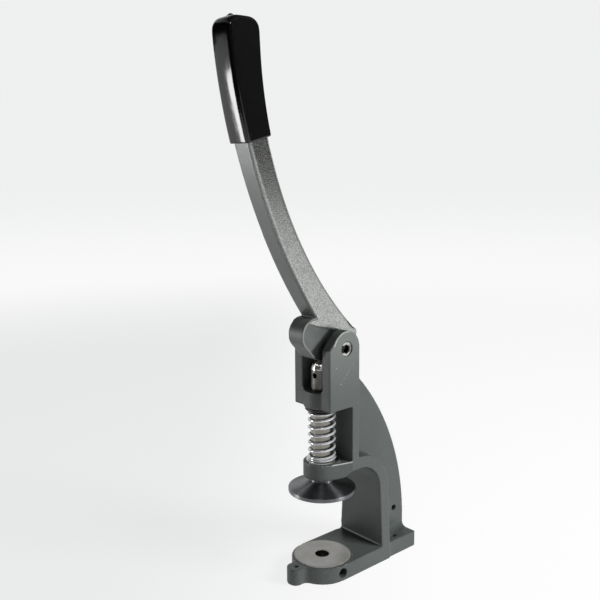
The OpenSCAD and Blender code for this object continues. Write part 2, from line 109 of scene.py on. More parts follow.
# %% Sockets that can be added and multiplied
class Value:
    """An output socket that takes part in sums."""

    def __init__(self, finish, socket):
        self.finish, self.socket = finish, socket

    def math(self, operation, *others):
        return self.finish.node("Math", {"operation": operation}, dict(enumerate((self,) + others)))

    def __add__(self, other):
        return self.math("ADD", other)

    def __sub__(self, other):
        return self.math("SUBTRACT", other)

    def __rsub__(self, other):
        return self.finish.node("Math", {"operation": "SUBTRACT"}, {0: other, 1: self})

    def __mul__(self, other):
        return self.math("MULTIPLY", other)

    __radd__, __rmul__ = __add__, __mul__

    def step(self, low, high):
        """0 below low and 1 above high, or the other way round, with a smooth way between."""
        smooth = {"interpolation_type": "SMOOTHSTEP"}
        return self.finish.node("MapRange", smooth, {0: self, 1: low, 2: high})


methods = [name for name in vars(Value) if not name.startswith("__")]
print("a value knows +, -, * and", ", ".join(methods))


# %% A finish and its nodes
def tone(red, green, blue):
    """A colour as a screen shows it, 0 to 255, turned to the linear light that nodes work in."""
    shown = [part / 255 for part in (red, green, blue)]
    linear = [part / 12.92 if part < 0.04045 else ((part + 0.055) / 1.055) ** 2.4 for part in shown]
    return (*linear, 1)


class Finish:
    """A material, or a world, with one main shader, built node by node."""

    def __init__(self, name, kind="materials", main="Principled BSDF", **sockets):
        self.owner = getattr(bpy.data, kind).new(name)
        self.owner.use_nodes = True
        self.tree = self.owner.node_tree
        self.shader = self.tree.nodes[main]
        self.main = Value(self, self.shader.outputs[0])
        self.feed(self.shader, sockets)

    def feed(self, node, sockets):
        """Sets each named or numbered socket of a node to a number, a colour or another node's output."""
        for key, value in sockets.items():
            socket = node.inputs[key.replace("_", " ") if isinstance(key, str) else key]
            if isinstance(value, Value):
                self.tree.links.new(value.socket, socket)
            else:
                socket.default_value = value

    def node(self, kind, settings=None, sockets=None, out=0):
        """Makes a node of any type and gives one of its outputs."""
        made = self.tree.nodes.new("ShaderNode" + kind)
        for key, value in (settings or {}).items():
            setattr(made, key, value)
        self.feed(made, sockets or {})
        return Value(self, made.outputs[out])

    def wear(self, **sockets):
        """Feeds what changes over the surface to the main shader."""
        self.feed(self.shader, sockets)

    def fed(self, name):
        """The output that feeds one of the main shader's sockets."""
        return Value(self, self.shader.inputs[name].links[0].from_socket)

    def show(self, shader):
        """Puts another shader in the main one's place at the output."""
        output = next(node for node in self.tree.nodes if node.type.startswith("OUTPUT"))
        self.feed(output, {0: shader})


print("finishes can be built from", Finish.__name__, "and", Value.__name__)

# %% [markdown]
# ## Patterns that every finish uses
# Object coordinates are in metres and stay with the piece, so a noise of scale 1000 has grains of about 1 mm
# on every piece, whatever its size. Turned pieces have their lathe lines round the ram's axis: the distance
# from that axis drives the rings on a flat face, and the height drives those on a round side.

# %% Places, grain and bumps
def place(finish):
    """The place on the piece, in metres."""
    return finish.node("TexCoord", out=3)


def axes(finish):
    """The x, y and z of a place."""
    split = finish.node("SeparateXYZ", sockets={0: place(finish)}).socket.node
    return [Value(finish, output) for output in split.outputs]


def grain(finish, scale, detail=3, stretch=(1, 1, 1)):
    """Noise from 0 to 1 with `scale` grains to a metre."""
    spot = finish.node("Mapping", sockets={"Vector": place(finish), "Scale": stretch})
    return finish.node("TexNoise", sockets={"Vector": spot, "Scale": scale, "Detail": detail})


def blend(finish, mask, below, above):
    """One colour over another."""
    return finish.node("Mix", {"data_type": "RGBA"}, {0: mask, 6: below, 7: above}, out=2)


def bump(finish, height, depth, strength=1.0, under=None):
    """A bump of `depth` metres from a height of 0 to 1, on top of another one where there is one."""
    sockets = {"Height": height, "Distance": depth, "Strength": strength}
    return finish.node("Bump", sockets=sockets | ({"Normal": under} if under else {}))


print("patterns:", ", ".join(tool.__name__ for tool in (place, axes, grain, blend, bump)))


# %% Distances that become masks
def from_axis(finish, through=None):
    """The distance from the ram's axis, or from a line along X through a y and z in mm."""
    x, y, z = axes(finish)
    first, second = (y - through[0] * MM, z - through[1] * MM) if through else (x, y)
    return (first * first + second * second).math("SQRT")


def close_to(value, spot, far, near):
    """1 where a value in metres is within `near` mm of a spot in mm, falling to 0 at `far` mm from it."""
    return (value - spot * MM).math("ABSOLUTE").step(far * MM, near * MM)


def from_side(finish):
    """The place as seen from the side, with its x pressed flat."""
    return finish.node("Mapping", sockets={"Vector": place(finish), "Scale": (0, 1, 1)})


def near_line(finish, start, end, spread, spot=None):
    """1 on a straight line between two points in mm, falling to 0 at `spread` mm from it."""
    first, way = Vector(start) * MM, (Vector(end) - Vector(start)) * MM
    share = way / way.length_squared
    out = finish.node("VectorMath", {"operation": "SUBTRACT"}, {0: spot or place(finish), 1: first})
    along = finish.node("VectorMath", {"operation": "DOT_PRODUCT"}, {0: out, 1: share}, out=1)
    held = finish.node("Clamp", sockets={0: along})
    nearest = finish.node("VectorMath", {"operation": "SCALE"}, {0: way, "Scale": held})
    gap = finish.node("VectorMath", {"operation": "DISTANCE"}, {0: out, 1: nearest}, out=1)
    return gap.step(spread * MM, spread * 0.4 * MM)


def most(first, *others):
    """The highest of several masks."""
    for other in others:
        first = first.math("MAXIMUM", other)
    return first


print("masks:", ", ".join(tool.__name__ for tool in (from_axis, close_to, from_side, near_line, most)))

# %% [markdown]
# ## Grey enamel on the frame
# The frame is cast iron under satin grey enamel, slightly green, which softens the sand's grain to a faint
# orange peel. The right side is painted paler towards the ear, a painted light, and the fork's front faces
# are a little duller. Handling has rubbed the paint off where it sticks out: on the shelf's edge, along the
# right ear's rim, and in small chips along the foot plate. Each worn place is a distance to a line or a
# circle, broken up by noise, and where that mask is 1 the bare iron shows. A fine scratch and two nicks on
# the head's right side are lines too. Their x is pressed flat first, so that only the place as seen from the
# side counts.

# %% Worn places
# Radii, heights and a side in mm, then pairs of places in metres between which a mask rises from 0 to 1.
SHELF_R, SHELF_Z, EAR_R, HEAD_SIDE, PLATE_R, PLATE_Z = 16.1, 103.3, 14.9, 22.2, 26.8, 14.3
EAR_UP, EAR_FRONT, ON_RIGHT = (0.2080, 0.2105), (0.0135, 0.009), (0.0215, 0.0219)
enamel = Finish("grey_enamel", IOR=1.5)
x, y, z = axes(enamel)
rubbed = grain(enamel, 420)
shelf_edge = near_line(enamel, (16.3, -2.5, SHELF_Z), (21.8, 15.2, SHELF_Z), 1.0) * rubbed.step(0.28, 0.42)
shelf_rim = close_to(from_axis(enamel), SHELF_R, 0.8, 0.3) * close_to(z, SHELF_Z, 0.9, 0.4)
shelf_rim = shelf_rim * rubbed.step(0.5, 0.62) * 0.5
ear_rim = close_to(from_axis(enamel, PIVOT), EAR_R, 0.8, 0.3) * close_to(x, HEAD_SIDE, 1.0, 0.4)
ear_rim = ear_rim * z.step(*EAR_UP) * y.step(*EAR_FRONT) * rubbed.step(0.34, 0.46)
plate_rim = close_to(from_axis(enamel), PLATE_R, 0.9, 0.4) * close_to(z, PLATE_Z, 0.9, 0.4)
plate_rim = plate_rim * grain(enamel, 900).step(0.62, 0.68)
worn = most(shelf_edge, shelf_rim, ear_rim, plate_rim)

flat = from_side(enamel)
scratch = near_line(enamel, (0, 1.6, 175.3), (0, 16.1, 191.3), 0.35, flat) * rubbed.step(0.45, 0.6) * 0.5
upper_nick = near_line(enamel, (0, -4.1, 190.0), (0, -3.6, 190.4), 0.7, flat) * 0.7
lower_nick = near_line(enamel, (0, 1.2, 175.3), (0, 2.3, 175.5), 0.6, flat) * 0.7
scratched = most(scratch, upper_nick, lower_nick) * x.step(*ON_RIGHT)
print("worn and scratched places:", len(enamel.tree.nodes), "nodes")

# %% Grey enamel
LIT_SIDE_UP, LIT_SIDE_OUT = (0.150, 0.225), (0.0205, 0.0215)
FORK_FACE, FORK_UP, FORK_IN = (-0.0096, -0.0106), (0.152, 0.172), (0.0216, 0.0210)
cloud = grain(enamel, 22, 4)
peel = grain(enamel, 420, 4)
speck = grain(enamel, 1300, 2)
# Painted light: the head's right side is painted paler upwards towards the ear, where the large lamp falls.
painted_light_right = z.step(*LIT_SIDE_UP) * x.step(*LIT_SIDE_OUT)
fork_front = y.step(*FORK_FACE) * z.step(*FORK_UP) * x.step(*FORK_IN)
colour = blend(enamel, cloud.step(0.3, 0.7), tone(76, 82, 80), tone(84, 89, 87))
colour = blend(enamel, painted_light_right, colour, tone(112, 117, 114))
colour = blend(enamel, speck.step(0.58, 0.72) * 0.4, colour, tone(120, 125, 122))
colour = blend(enamel, scratched, colour, tone(160, 163, 160))
enamel.wear(
    Base_Color=blend(enamel, worn, colour, tone(214, 215, 210)),
    Roughness=(0.36 + peel * 0.16) - worn * 0.12 + fork_front * 0.10,
    Metallic=worn * 0.35,
    Normal=bump(enamel, peel, 0.00012, under=bump(enamel, cloud, 0.0006, 0.35)))
print("grey enamel:", len(enamel.tree.nodes), "nodes")

# %% [markdown]
# ## Bare turned iron
# The anvil pad was faced on a lathe after casting and left bare, so it is a dull warm grey with faint rings
# round its middle. The guides were bored, and show the same iron. A sine of the distance from the axis gives
# the rings, and a noise breaks them, because a worn tool never cuts evenly.

# %% Bare turned iron
iron = Finish("turned_iron", Metallic=0.4, Specular_IOR_Level=0.5)
rings = (from_axis(iron) * 9000).math("SINE") * 0.5 + 0.5
patchy = grain(iron, 60, 5)
fine = grain(iron, 2200, 2)
colour = blend(iron, patchy.step(0.3, 0.72), tone(168, 166, 162), tone(188, 187, 184))
iron.wear(
    Base_Color=blend(iron, fine.step(0.55, 0.75) * 0.5, colour, tone(136, 133, 128)),
    Roughness=0.36 + patchy * 0.14,
    Normal=bump(iron, rings * 0.5 + fine * 0.5, 0.00002, 0.6))
print("turned iron:", len(iron.tree.nodes), "nodes")

# %% [markdown]
# ## Three greys on the lever
# The lever's curved faces and its cam have a smooth satin grey. It is painted paler towards the grip, a
# painted sheen standing in for the lamps' reflection, paler along the cam's edges, edge wear with a painted
# highlight, and darker beside the pivot, a painted shadow of the ear. The arm's flat sides were
# ground after casting and carry a brighter coat full of metal flakes, whose skin is a field of tiny domes
# with dark pits between them. A Voronoi texture is made of cells just like that: the distance to the nearest
# cell's middle gives the domes' height, and it darkens the pits too. The left side is duller than the right
# one. The rounded rim along the arm's back has a dull grey with hardly any shine, because a shiny rim turns
# white at a glancing angle and makes the arm look thin.

# %% Worn places, a painted highlight and a painted shadow on the cam
# The nose's middle in mm, pairs of places in metres as above, and two slanting lines as seen from the side:
# the y and z of the way across each line, and its offset in metres.
NOSE = (-15.6, 218.1)
CAM_SIDE, SHADOW_SIDE = (0.0079, 0.0084), (0.0086, 0.0089)
NOSE_IN, NOSE_OUT, NOSE_FRONT = (0.0122, 0.0130), (0.0150, 0.0142), (-0.004, -0.008)
ARM_LINE, SHADOW_LINE = (0.680, -0.733, 0.1705), (0.62, -0.78, 0.1544)


def beyond(line, y, z):
    """How far a place lies beyond a slanting line, in metres."""
    return y * line[0] + z * line[1] + line[2]


satin = Finish("satin_grey", IOR=1.7)
sand = grain(satin, 1100)
x, y, z = axes(satin)
side = x.math("ABSOLUTE")
cam_side = side.step(*CAM_SIDE)
from_nose = from_axis(satin, NOSE)
nose_edge = cam_side * from_nose.step(*NOSE_IN) * from_nose.step(*NOSE_OUT)
below_arm = beyond(ARM_LINE, y, z).step(0.0005, -0.0005)
nose_edge = nose_edge * y.step(*NOSE_FRONT) * below_arm
flat_edge = near_line(satin, (0, -25.8, 208.7), (0, -17.2, 199.4), 1.3, from_side(satin)) * cam_side
# Edge wear with a painted highlight: the cam's nose rim and flat edge are painted paler, as a lit edge.
cam_edge_wear_and_highlight = most(nose_edge, flat_edge) * sand.step(0.3, 0.45)
# Painted shadow: the cam's side is painted dark beside the pivot, where the right ear's shadow falls.
painted_ear_shadow = beyond(SHADOW_LINE, y, z).step(-0.0195, -0.0160) * side.step(*SHADOW_SIDE)
print("cam's worn and painted_shade places:", len(satin.tree.nodes), "nodes")

# %% Satin grey
cloud = grain(satin, 60, 4)
# Painted sheen: the arm is painted paler upwards towards the grip, standing in for the lamps' reflection.
painted_sheen_up = z.step(0.225, 0.345)
colour = blend(satin, cloud.step(0.3, 0.7), tone(86, 90, 88), tone(100, 103, 101))
colour = blend(satin, painted_sheen_up, colour, tone(148, 150, 148))
colour = blend(satin, painted_ear_shadow, colour, tone(30, 32, 31))
colour = blend(satin, cam_edge_wear_and_highlight * 0.6, colour, tone(172, 173, 170))
satin.wear(
    Base_Color=blend(satin, sand.step(0.6, 0.75) * 0.5, colour, tone(134, 136, 134)),
    Roughness=0.28 + sand * 0.12 + z.step(0.245, 0.230) * 0.2,
    Normal=bump(satin, sand, 0.00009, 0.8, under=bump(satin, cloud, 0.0004, 0.3)))
print("satin grey:", len(satin.tree.nodes), "nodes")

# %% Hammered grey
hammer = Finish("hammered_grey", IOR=1.5)
cells = hammer.node("TexVoronoi", {"feature": "SMOOTH_F1"},
                    {"Vector": place(hammer), "Scale": 800, "Smoothness": 0.6})
pits = (cells * 0.6 + grain(hammer, 1100) * 0.7 + grain(hammer, 90) * 0.25).step(0.55, 1.0)
left_side = axes(hammer)[0].step(0.001, -0.001)
hammer.wear(
    Base_Color=blend(hammer, pits, tone(188, 190, 187), tone(158, 160, 158)),
    Roughness=0.20 + pits * 0.10 + left_side * 0.4,
    Metallic=0.97 - pits * 0.07,
    Normal=bump(hammer, 1 - pits, 0.00006, 0.28))
print("hammered grey:", len(hammer.tree.nodes), "nodes")

# %% Dull grey
dull = Finish("dull_grey", Roughness=0.85, Specular_IOR_Level=0.1)
sandy = grain(dull, 1100).step(0.4, 0.7)
dull.wear(Base_Color=blend(dull, sandy, tone(116, 118, 115), tone(138, 140, 137)))
print("dull grey:", len(dull.tree.nodes), "nodes")

# %% [markdown]
# ## Dipped vinyl, steel and chrome
# The grip is glossy black vinyl, whose skin waves a little where it ran down before it set. The ram is plain
# ground steel gone brownish, painted paler inside the spring as a painted reflection of the coils, with a
# polished top. The foot is blackened and turned, the washer under the head is dark, and the spring and the
# pivot's face are bright. The spring is only partly metallic, so that the large lamp, which no metal mirrors
# here, still brightens it. A painted shade darkens the pivot's ring beside its socket. On the foot and the
# ram's top, Anisotropic stretches the highlights into fans, as fine lathe lines do. With no tangent given
# Blender runs it round the piece's own upright axis, and a rotation of a quarter turn lays the fans across
# the lines.

# %% Dipped vinyl
vinyl = Finish("dipped_vinyl", IOR=1.5)
wave = grain(vinyl, 70, 2, stretch=(1, 1, 0.5))
dust = grain(vinyl, 1600)
vinyl.wear(
    Base_Color=blend(vinyl, dust.step(0.6, 0.8), tone(17, 17, 18), tone(30, 30, 31)),
    Roughness=0.09 + dust * 0.06,
    Normal=bump(vinyl, wave, 0.0005, 0.5))
print("dipped vinyl:", len(vinyl.tree.nodes), "nodes")


# %% Turned steels
def steel(name, deep, clean, roughness, lines, depth, **sockets):
    """A turned metal: two tones, fine lines round the upright axis and a little smear."""
    finish = Finish(name, **{"Metallic": 1.0} | sockets)
    _, _, height = axes(finish)
    track = finish.node("CombineXYZ", sockets={0: from_axis(finish), 1: height, 2: 0.0})
    cut = finish.node("TexNoise", sockets={"Vector": track, "Scale": lines, "Detail": 2})
    smear = grain(finish, 140, 4)
    finish.wear(
        Base_Color=blend(finish, cut * 0.5 + smear.step(0.3, 0.7) * 0.5, deep, clean),
        Roughness=roughness + smear * 0.10,
        Normal=bump(finish, cut, depth, 0.5))
    return finish


ground = steel("ground_steel", tone(72, 70, 67), tone(106, 103, 99), 0.24, 5200, 0.00001)
polished = steel("polished_steel", tone(196, 192, 188), tone(222, 220, 216), 0.24, 5200, 0.000003,
                 Anisotropic=0.85, Anisotropic_Rotation=0.25)
black = steel("blackened_steel", tone(110, 111, 113), tone(140, 141, 143), 0.40, 4200, 0.00001,
              Anisotropic=0.9, Anisotropic_Rotation=0.25)
bright = steel("bare_steel", tone(186, 184, 180), tone(218, 216, 212), 0.18, 5200, 0.00001)
chrome = steel("spring_chrome", tone(222, 224, 226), tone(243, 244, 245), 0.11, 3000, 0.000004,
               Metallic=0.55)
dark = steel("dark_socket", tone(40, 38, 37), tone(70, 67, 65), 0.4, 3000, 0.00001)
print("steels:", ", ".join(finish.owner.name for finish in (ground, polished, black, bright, chrome, dark)))

# %% Painted reflection on the ram and painted shade on the pivot
SPRING_LOW, SPRING_HIGH, RING_SHADE_BACK = (0.100, 0.104), (0.156, 0.150), (0.0070, 0.0100)
_, _, z = axes(ground)
# Painted reflection: the ram is painted paler inside the spring, where the bright coils are mirrored in it.
painted_sheen_in_spring = z.step(*SPRING_LOW) * z.step(*SPRING_HIGH)
ground.wear(Base_Color=blend(ground, painted_sheen_in_spring, ground.fed("Base Color"), tone(140, 136, 130)))
_, y, z = axes(bright)
# Painted shade: a band of the pivot's face beside its socket is painted dark at the front, mid-grey behind.
painted_dark_band = close_to(z, PIVOT[1], 4.0, 2.6)
painted_ring_shade = blend(bright, y.step(*RING_SHADE_BACK), tone(48, 47, 46), tone(140, 138, 135))
bright.wear(Base_Color=blend(bright, painted_dark_band, bright.fed("Base Color"), painted_ring_shade))
print("ground and bare steel:", len(ground.tree.nodes), "and", len(bright.tree.nodes), "nodes")

# %% [markdown]
# ## Starting a piece from its CAD node
# The CAD solids have the right shapes and sharp edges. A copy of such a mesh arrives as loose triangles, so
# its doubles are merged and its flat faces are joined first. Only then does an edge know both of its faces,
# and a bevel can run along it.

# %% From a node to a piece
DOUBLES = 0.004 * MM
FLAT_ANGLE, SMOOTH_ANGLE = math.radians(0.4), math.radians(32)


def pick(obj):
    """Makes one object the only selected and active one, because operators act on all that is selected."""
    bpy.ops.object.select_all(action="DESELECT")
    obj.select_set(True)
    bpy.context.view_layer.objects.active = obj


def from_node(node, name):
    """A copy of a CAD node as a new piece at the origin, in one closed skin."""
    obj = bpy.data.objects.new(name, frame["nodes"][node].data.copy())
    obj.data.materials.clear()
    bpy.context.collection.objects.link(obj)
    pick(obj)
    bpy.ops.object.mode_set(mode="EDIT")
    bpy.ops.mesh.select_all(action="SELECT")
    bpy.ops.mesh.remove_doubles(threshold=DOUBLES)
    bpy.ops.mesh.dissolve_limited(angle_limit=FLAT_ANGLE)
    bpy.ops.object.mode_set(mode="OBJECT")
    return obj


def apply(obj, kind, **settings):
    """Adds a modifier and applies it at once."""
    pick(obj)
    made = obj.modifiers.new(kind.title(), kind)
    for key, value in settings.items():
        setattr(made, key, value)
    bpy.ops.object.modifier_apply(modifier=made.name)


def settle(obj, node, body, slot, *finishes):
    """Smooth shading, finishes, body and the node that the piece stands for; slot is not used."""
    pick(obj)
    bpy.ops.object.shade_smooth_by_angle(angle=SMOOTH_ANGLE)
    for finish in finishes:
        obj.data.materials.append(finish.owner)
    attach(obj, body)
    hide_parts(node)
    obj.data.calc_loop_triangles()
    size = [round(length / MM, 1) for length in obj.dimensions]
    print(obj.name, len(obj.data.loop_triangles), "triangles,", size, "mm")


print("pieces can start from", len(frame["nodes"]), "nodes")

# %% [markdown]
# ## Rounding edges by how they were made
# A lathe or a drill leaves a crisp edge, which the turner breaks with a file, and some edges are rounded on
# purpose. The Bevel modifier can read a weight from each edge: sharp edges are found by the angle between
# their faces, and a rule by place says how much of the full width each one gets.

# %% Weighted bevels
SHARP = math.radians(24)


def round_edges(obj, width, rule):
    """Rounds sharp edges, each by its share of the width in mm, which a rule gives for its middle in mm."""
    mesh = obj.data
    faces_of = {}
    for face in mesh.polygons:
        for key in face.edge_keys:
            faces_of.setdefault(key, []).append(face)
    share = mesh.attributes.new("bevel_weight_edge", "FLOAT", "EDGE").data
    count = 0
    for edge in mesh.edges:
        sides = faces_of.get(edge.key, [])
        if len(sides) == 2 and sides[0].normal.angle(sides[1].normal, 0) > SHARP:
            ends = [mesh.vertices[i].co for i in edge.vertices]
            share[edge.index].value = rule((ends[0] + ends[1]) / 2 / MM)
            count += 1
    apply(obj, "BEVEL", width=width * MM, segments=3, limit_method="WEIGHT", use_clamp_overlap=False)
    apply(obj, "WEIGHTED_NORMAL", keep_sharp=True)
    print(obj.name, "rounds", count, "edges")


print("edges are sharp above", round(math.degrees(SHARP)), "degrees")

# %% [markdown]
# ## Melting edges as sand does
# Cast edges are round all over, in the hollows too. Bevels can do that, but they stumble where many narrow
# steps meet, as they do on this frame. A voxel remesh turns a solid into an even skin instead, and smoothing
# then melts every edge. A vertex group tells how much each place melts, so that machined edges stay crisp.
# The flat parts need few triangles, and Decimate takes the spare ones out again.

# %% Even skins
def skin(obj, voxel):
    """Turns a piece, or several joined ones that overlap, into one even skin of `voxel` millimetres."""
    apply(obj, "REMESH", mode="VOXEL", voxel_size=voxel * MM)


def melt(obj, passes, share):
    """Smooths a piece some times, by the share from 0 to 1 that a rule gives for each place in mm."""
    group = obj.vertex_groups.new(name="melt")
    for point in obj.data.vertices:
        group.add([point.index], share(point.co / MM), "REPLACE")
    apply(obj, "SMOOTH", factor=0.5, iterations=passes, vertex_group="melt")
    obj.vertex_groups.clear()


def thin_out(obj, triangles):
    """Takes triangles out where they change least, down to a number."""
    apply(obj, "DECIMATE", ratio=triangles / (2 * len(obj.data.polygons)))
    print(obj.name, "keeps", len(obj.data.polygons), "faces")


print("skins:", ", ".join(tool.__name__ for tool in (skin, melt, thin_out)))

# %% [markdown]
# ## The frame casting
# One casting makes the foot plate, column, bow, web, shelf, strip, head and ears. Its cast edges melt by
# about a millimetre, and the hollows at the column's foot and along the web melt again, because a foundry
# fills such corners well. The pad and the bores were machined, so they hardly melt, and they get the bare
# iron, with the anvil's bore painted darker as painted shade. An even skin is coarser than the die screw's
# clearance, so points that stand in the screw's way move out to a circle round its axis.

# %% How much the casting melts, in mm
# Limits of the machined places and of the filled hollows, most of them a little past the real edge.
PAD_TOP, PAD_R, THROAT_TOP, GUIDE_R, PIVOT_R = 16.5, 25.7, 80, 10.2, 7.6
COLUMN_Y, PLATE_TOP, HOLLOW = 49.4, 14.4, 4.5
BOW_Y, BOW_Z, BOW_R = -120.6, 22, 212.5
WEB_IN, WEB_OUT, WEB_FRONT, WEB_LOW = 9.6, 14, 18, 16


def from_pivot(point):
    """The distance from the pivot's axis, in mm."""
    return math.hypot(point.y - PIVOT[0], point.z - PIVOT[1])


def cast_share(point):
    """How much an edge melts at a place: little where it was machined."""
    reach = math.hypot(point.x, point.y)
    pad = point.z < PAD_TOP and reach < PAD_R
    guides = point.z > THROAT_TOP and reach < GUIDE_R
    return 0.12 if pad or guides or from_pivot(point) < PIVOT_R else 1.0


def hollow_share(point):
    """1 in the hollows that the foundry filled: the column's foot and both sides of the web."""
    foot = abs(point.y - COLUMN_Y) < HOLLOW and abs(point.z - PLATE_TOP) < HOLLOW
    back_edge = math.hypot(point.y - BOW_Y, point.z - BOW_Z) > BOW_R
    web = WEB_IN < abs(point.x) < WEB_OUT and point.y > WEB_FRONT and point.z > WEB_LOW and not back_edge
    return 1.0 if foot or web else 0.0


print("machined within", PAD_R, "mm on the pad and", GUIDE_R, "mm in the guides")

# %% Frame casting
SCREW_Z, SCREW_WAY, SCREW_CORE, SCREW_END = 7.2 * MM, 4.42 * MM, 2 * MM, 3 * MM
casting = from_node("frame_casting", "frame_body")
skin(casting, 0.6)
melt(casting, 8, cast_share)
melt(casting, 26, hollow_share)
thin_out(casting, 170000)
for point in casting.data.vertices:
    from_screw = Vector((0, point.co.y, point.co.z - SCREW_Z))
    if point.co.x > SCREW_END and SCREW_CORE < from_screw.length < SCREW_WAY:
        point.co += from_screw * (SCREW_WAY / from_screw.length - 1)
finishes = (enamel, iron, ground)
settle(casting, "frame_casting", "frame", "frame_paint", *finishes)

# %% Machined faces of the casting, in mm
PAD_LOW, PAD_HIGH, PAD_FACE_R, BORE_R, BORE_TOP = 15.0, 15.7, 25.2, 9.8, 15.2
# A face counts as upright where its normal rises or falls by less than this share.
UPRIGHT = 0.6
bare = 0
for face in casting.data.polygons:
    middle = face.center / MM
    reach = math.hypot(middle.x, middle.y)
    bore = reach < BORE_R and abs(face.normal.z) < UPRIGHT
    if bore or (PAD_LOW < middle.z < PAD_HIGH and reach < PAD_FACE_R):
        # Painted shade: the anvil's bore, below the pad, gets the darker ground steel.
        face.material_index = finishes.index(ground if bore and middle.z < BORE_TOP else iron)
        bare += 1
print("bare faces:", bare)

# %% [markdown]
# ## The lever
# The lever is cast in one piece: an arm between two long curves, a cam and a hub. The arm's rounded rims want
# a finer mesh than the CAD copy has, so the arm is drawn again from its two curves as a flat outline, which a
# 2D curve can fill, thicken and round at once. Laid over the copy, both melt into one skin, with a soft
# fillet where the arm runs into the cam.

# %% Bars with rounded rims
# Each of the arm's curves is an arc: its middle's y and z, and its radius, in mm.
FRONT, BACK = (360.44, 496.52, 459.0), (257.10, 456.32, 329.0)
SIDEWAYS = Matrix(((0, 0, 1, 0), (1, 0, 0, 0), (0, 1, 0, 0), (0, 0, 0, 1)))


def arc_back(curve, grow, height):
    """How far back an arc lies at a height, in mm, with its radius grown."""
    middle, level_z, radius = curve
    return middle - math.sqrt((radius + grow) ** 2 - (height - level_z) ** 2)


def curved(curve, grow, low, high, count=48):
    """Points (back, up) in mm on one of the arm's two arcs, from one height to another."""
    heights = [low + (high - low) * i / (count - 1) for i in range(count)]
    return [(arc_back(curve, grow, height), height) for height in heights]


def bar(name, outline, thickness, edge):
    """A bar drawn from the side as (back, up) points in mm, with rounded rims."""
    drawn = bpy.data.curves.new(name, "CURVE")
    drawn.dimensions, drawn.fill_mode = "2D", "BOTH"
    drawn.extrude, drawn.bevel_depth = (thickness / 2 - edge) * MM, edge * MM
    drawn.bevel_resolution, drawn.offset = 5, -edge * MM
    line = drawn.splines.new("POLY")
    line.points.add(len(outline) - 1)
    for point, (back, high) in zip(line.points, outline):
        point.co = (back * MM, high * MM, 0, 1)
    line.use_cyclic_u = True
    obj = bpy.data.objects.new(name, drawn)
    bpy.context.collection.objects.link(obj)
    pick(obj)
    bpy.ops.object.convert(target="MESH")
    obj.data.transform(SIDEWAYS)
    bpy.ops.object.mode_set(mode="EDIT")
    bpy.ops.mesh.select_all(action="SELECT")
    bpy.ops.mesh.remove_doubles(threshold=DOUBLES)
    bpy.ops.mesh.normals_make_consistent(inside=False)
    bpy.ops.object.mode_set(mode="OBJECT")
    print(name, [round(length / MM, 1) for length in obj.dimensions], "mm")
    return obj


print("arm: front arc", FRONT[2], "mm, back arc", BACK[2], "mm")

# %% Lever
ARM_LOW, ARM_TOP, ARM_THICK, ARM_EDGE = 240, 459, 19.6, 2.8
lever = from_node("lever_arm", "lever_casting")
outline = curved(FRONT, 0, ARM_LOW, ARM_TOP) + curved(BACK, 0, ARM_TOP, ARM_LOW)
arm = bar("arm", outline, ARM_THICK, ARM_EDGE)
pick(lever)
arm.select_set(True)
bpy.ops.object.join()
skin(lever, 0.5)
melt(lever, 10, lambda point: 0.15 if from_pivot(point) < PIVOT_R else 1.0)
thin_out(lever, 150000)
finishes = (satin, hammer, dull)
settle(lever, "lever_arm", "lever", "lever_paint", *finishes)

# %% Ground sides and dull back rim of the arm, in mm
GROUND_SIDE, RIM_SIDE, RIM_LOW = 9.6, 6.8, 225
# How far a face has to point sideways or to the back, from 0 to 1.
FLAT, FLAT_AT_BACK, ROUNDED, TO_BACK = 0.94, 0.985, 0.15, 0.05
for face in lever.data.polygons:
    out, sideways = abs(face.center.x) / MM, abs(face.normal.x)
    to_back = face.normal.y > TO_BACK
    if out > GROUND_SIDE and sideways > (FLAT_AT_BACK if to_back else FLAT):
        face.material_index = finishes.index(hammer)
    elif out > RIM_SIDE and to_back and sideways > ROUNDED and face.center.z > RIM_LOW * MM:
        face.material_index = finishes.index(dull)
print("ground faces:", sum(face.material_index == finishes.index(hammer) for face in lever.data.polygons))

# %% [markdown]
# ## The grip
# The arm's end was dipped in liquid vinyl, which left a thick glossy sleeve with a soft round top and the
# small drip where the last drop hung. It follows the arm's curves a few millimetres out, is cut at its
# slanted rim, and melts more and more towards its top, as liquid pulls itself round. At last its front gets a
# slight crown: the further a point lies from the middle, the further it moves back.

# %% Grip's outline, in mm
GRIP_LOW, GRIP_HIGH, CORNER_R, GRIP_THICK, GRIP_EDGE = 362, 453.9, 9.5, 24.2, 3.0
FRONT_CORNER_Y, BACK_CORNER_Y, FRONT_GROW, BACK_GROW = -90.1, -79.4, 3, -2


def corner(back, start, end, count=12):
    """Points on the round of one of the grip's upper corners, from one angle to another in degrees."""
    angles = [math.radians(start + (end - start) * i / (count - 1)) for i in range(count)]
    ways = [(math.cos(angle), math.sin(angle)) for angle in angles]
    return [(back + CORNER_R * out, GRIP_HIGH + CORNER_R * rise) for out, rise in ways]


outline = curved(FRONT, FRONT_GROW, GRIP_LOW, GRIP_HIGH) + corner(FRONT_CORNER_Y, 180, 90)
outline += corner(BACK_CORNER_Y, 90, 0) + curved(BACK, BACK_GROW, GRIP_HIGH, GRIP_LOW)
grip = bar("dipped_grip", outline, GRIP_THICK, GRIP_EDGE)

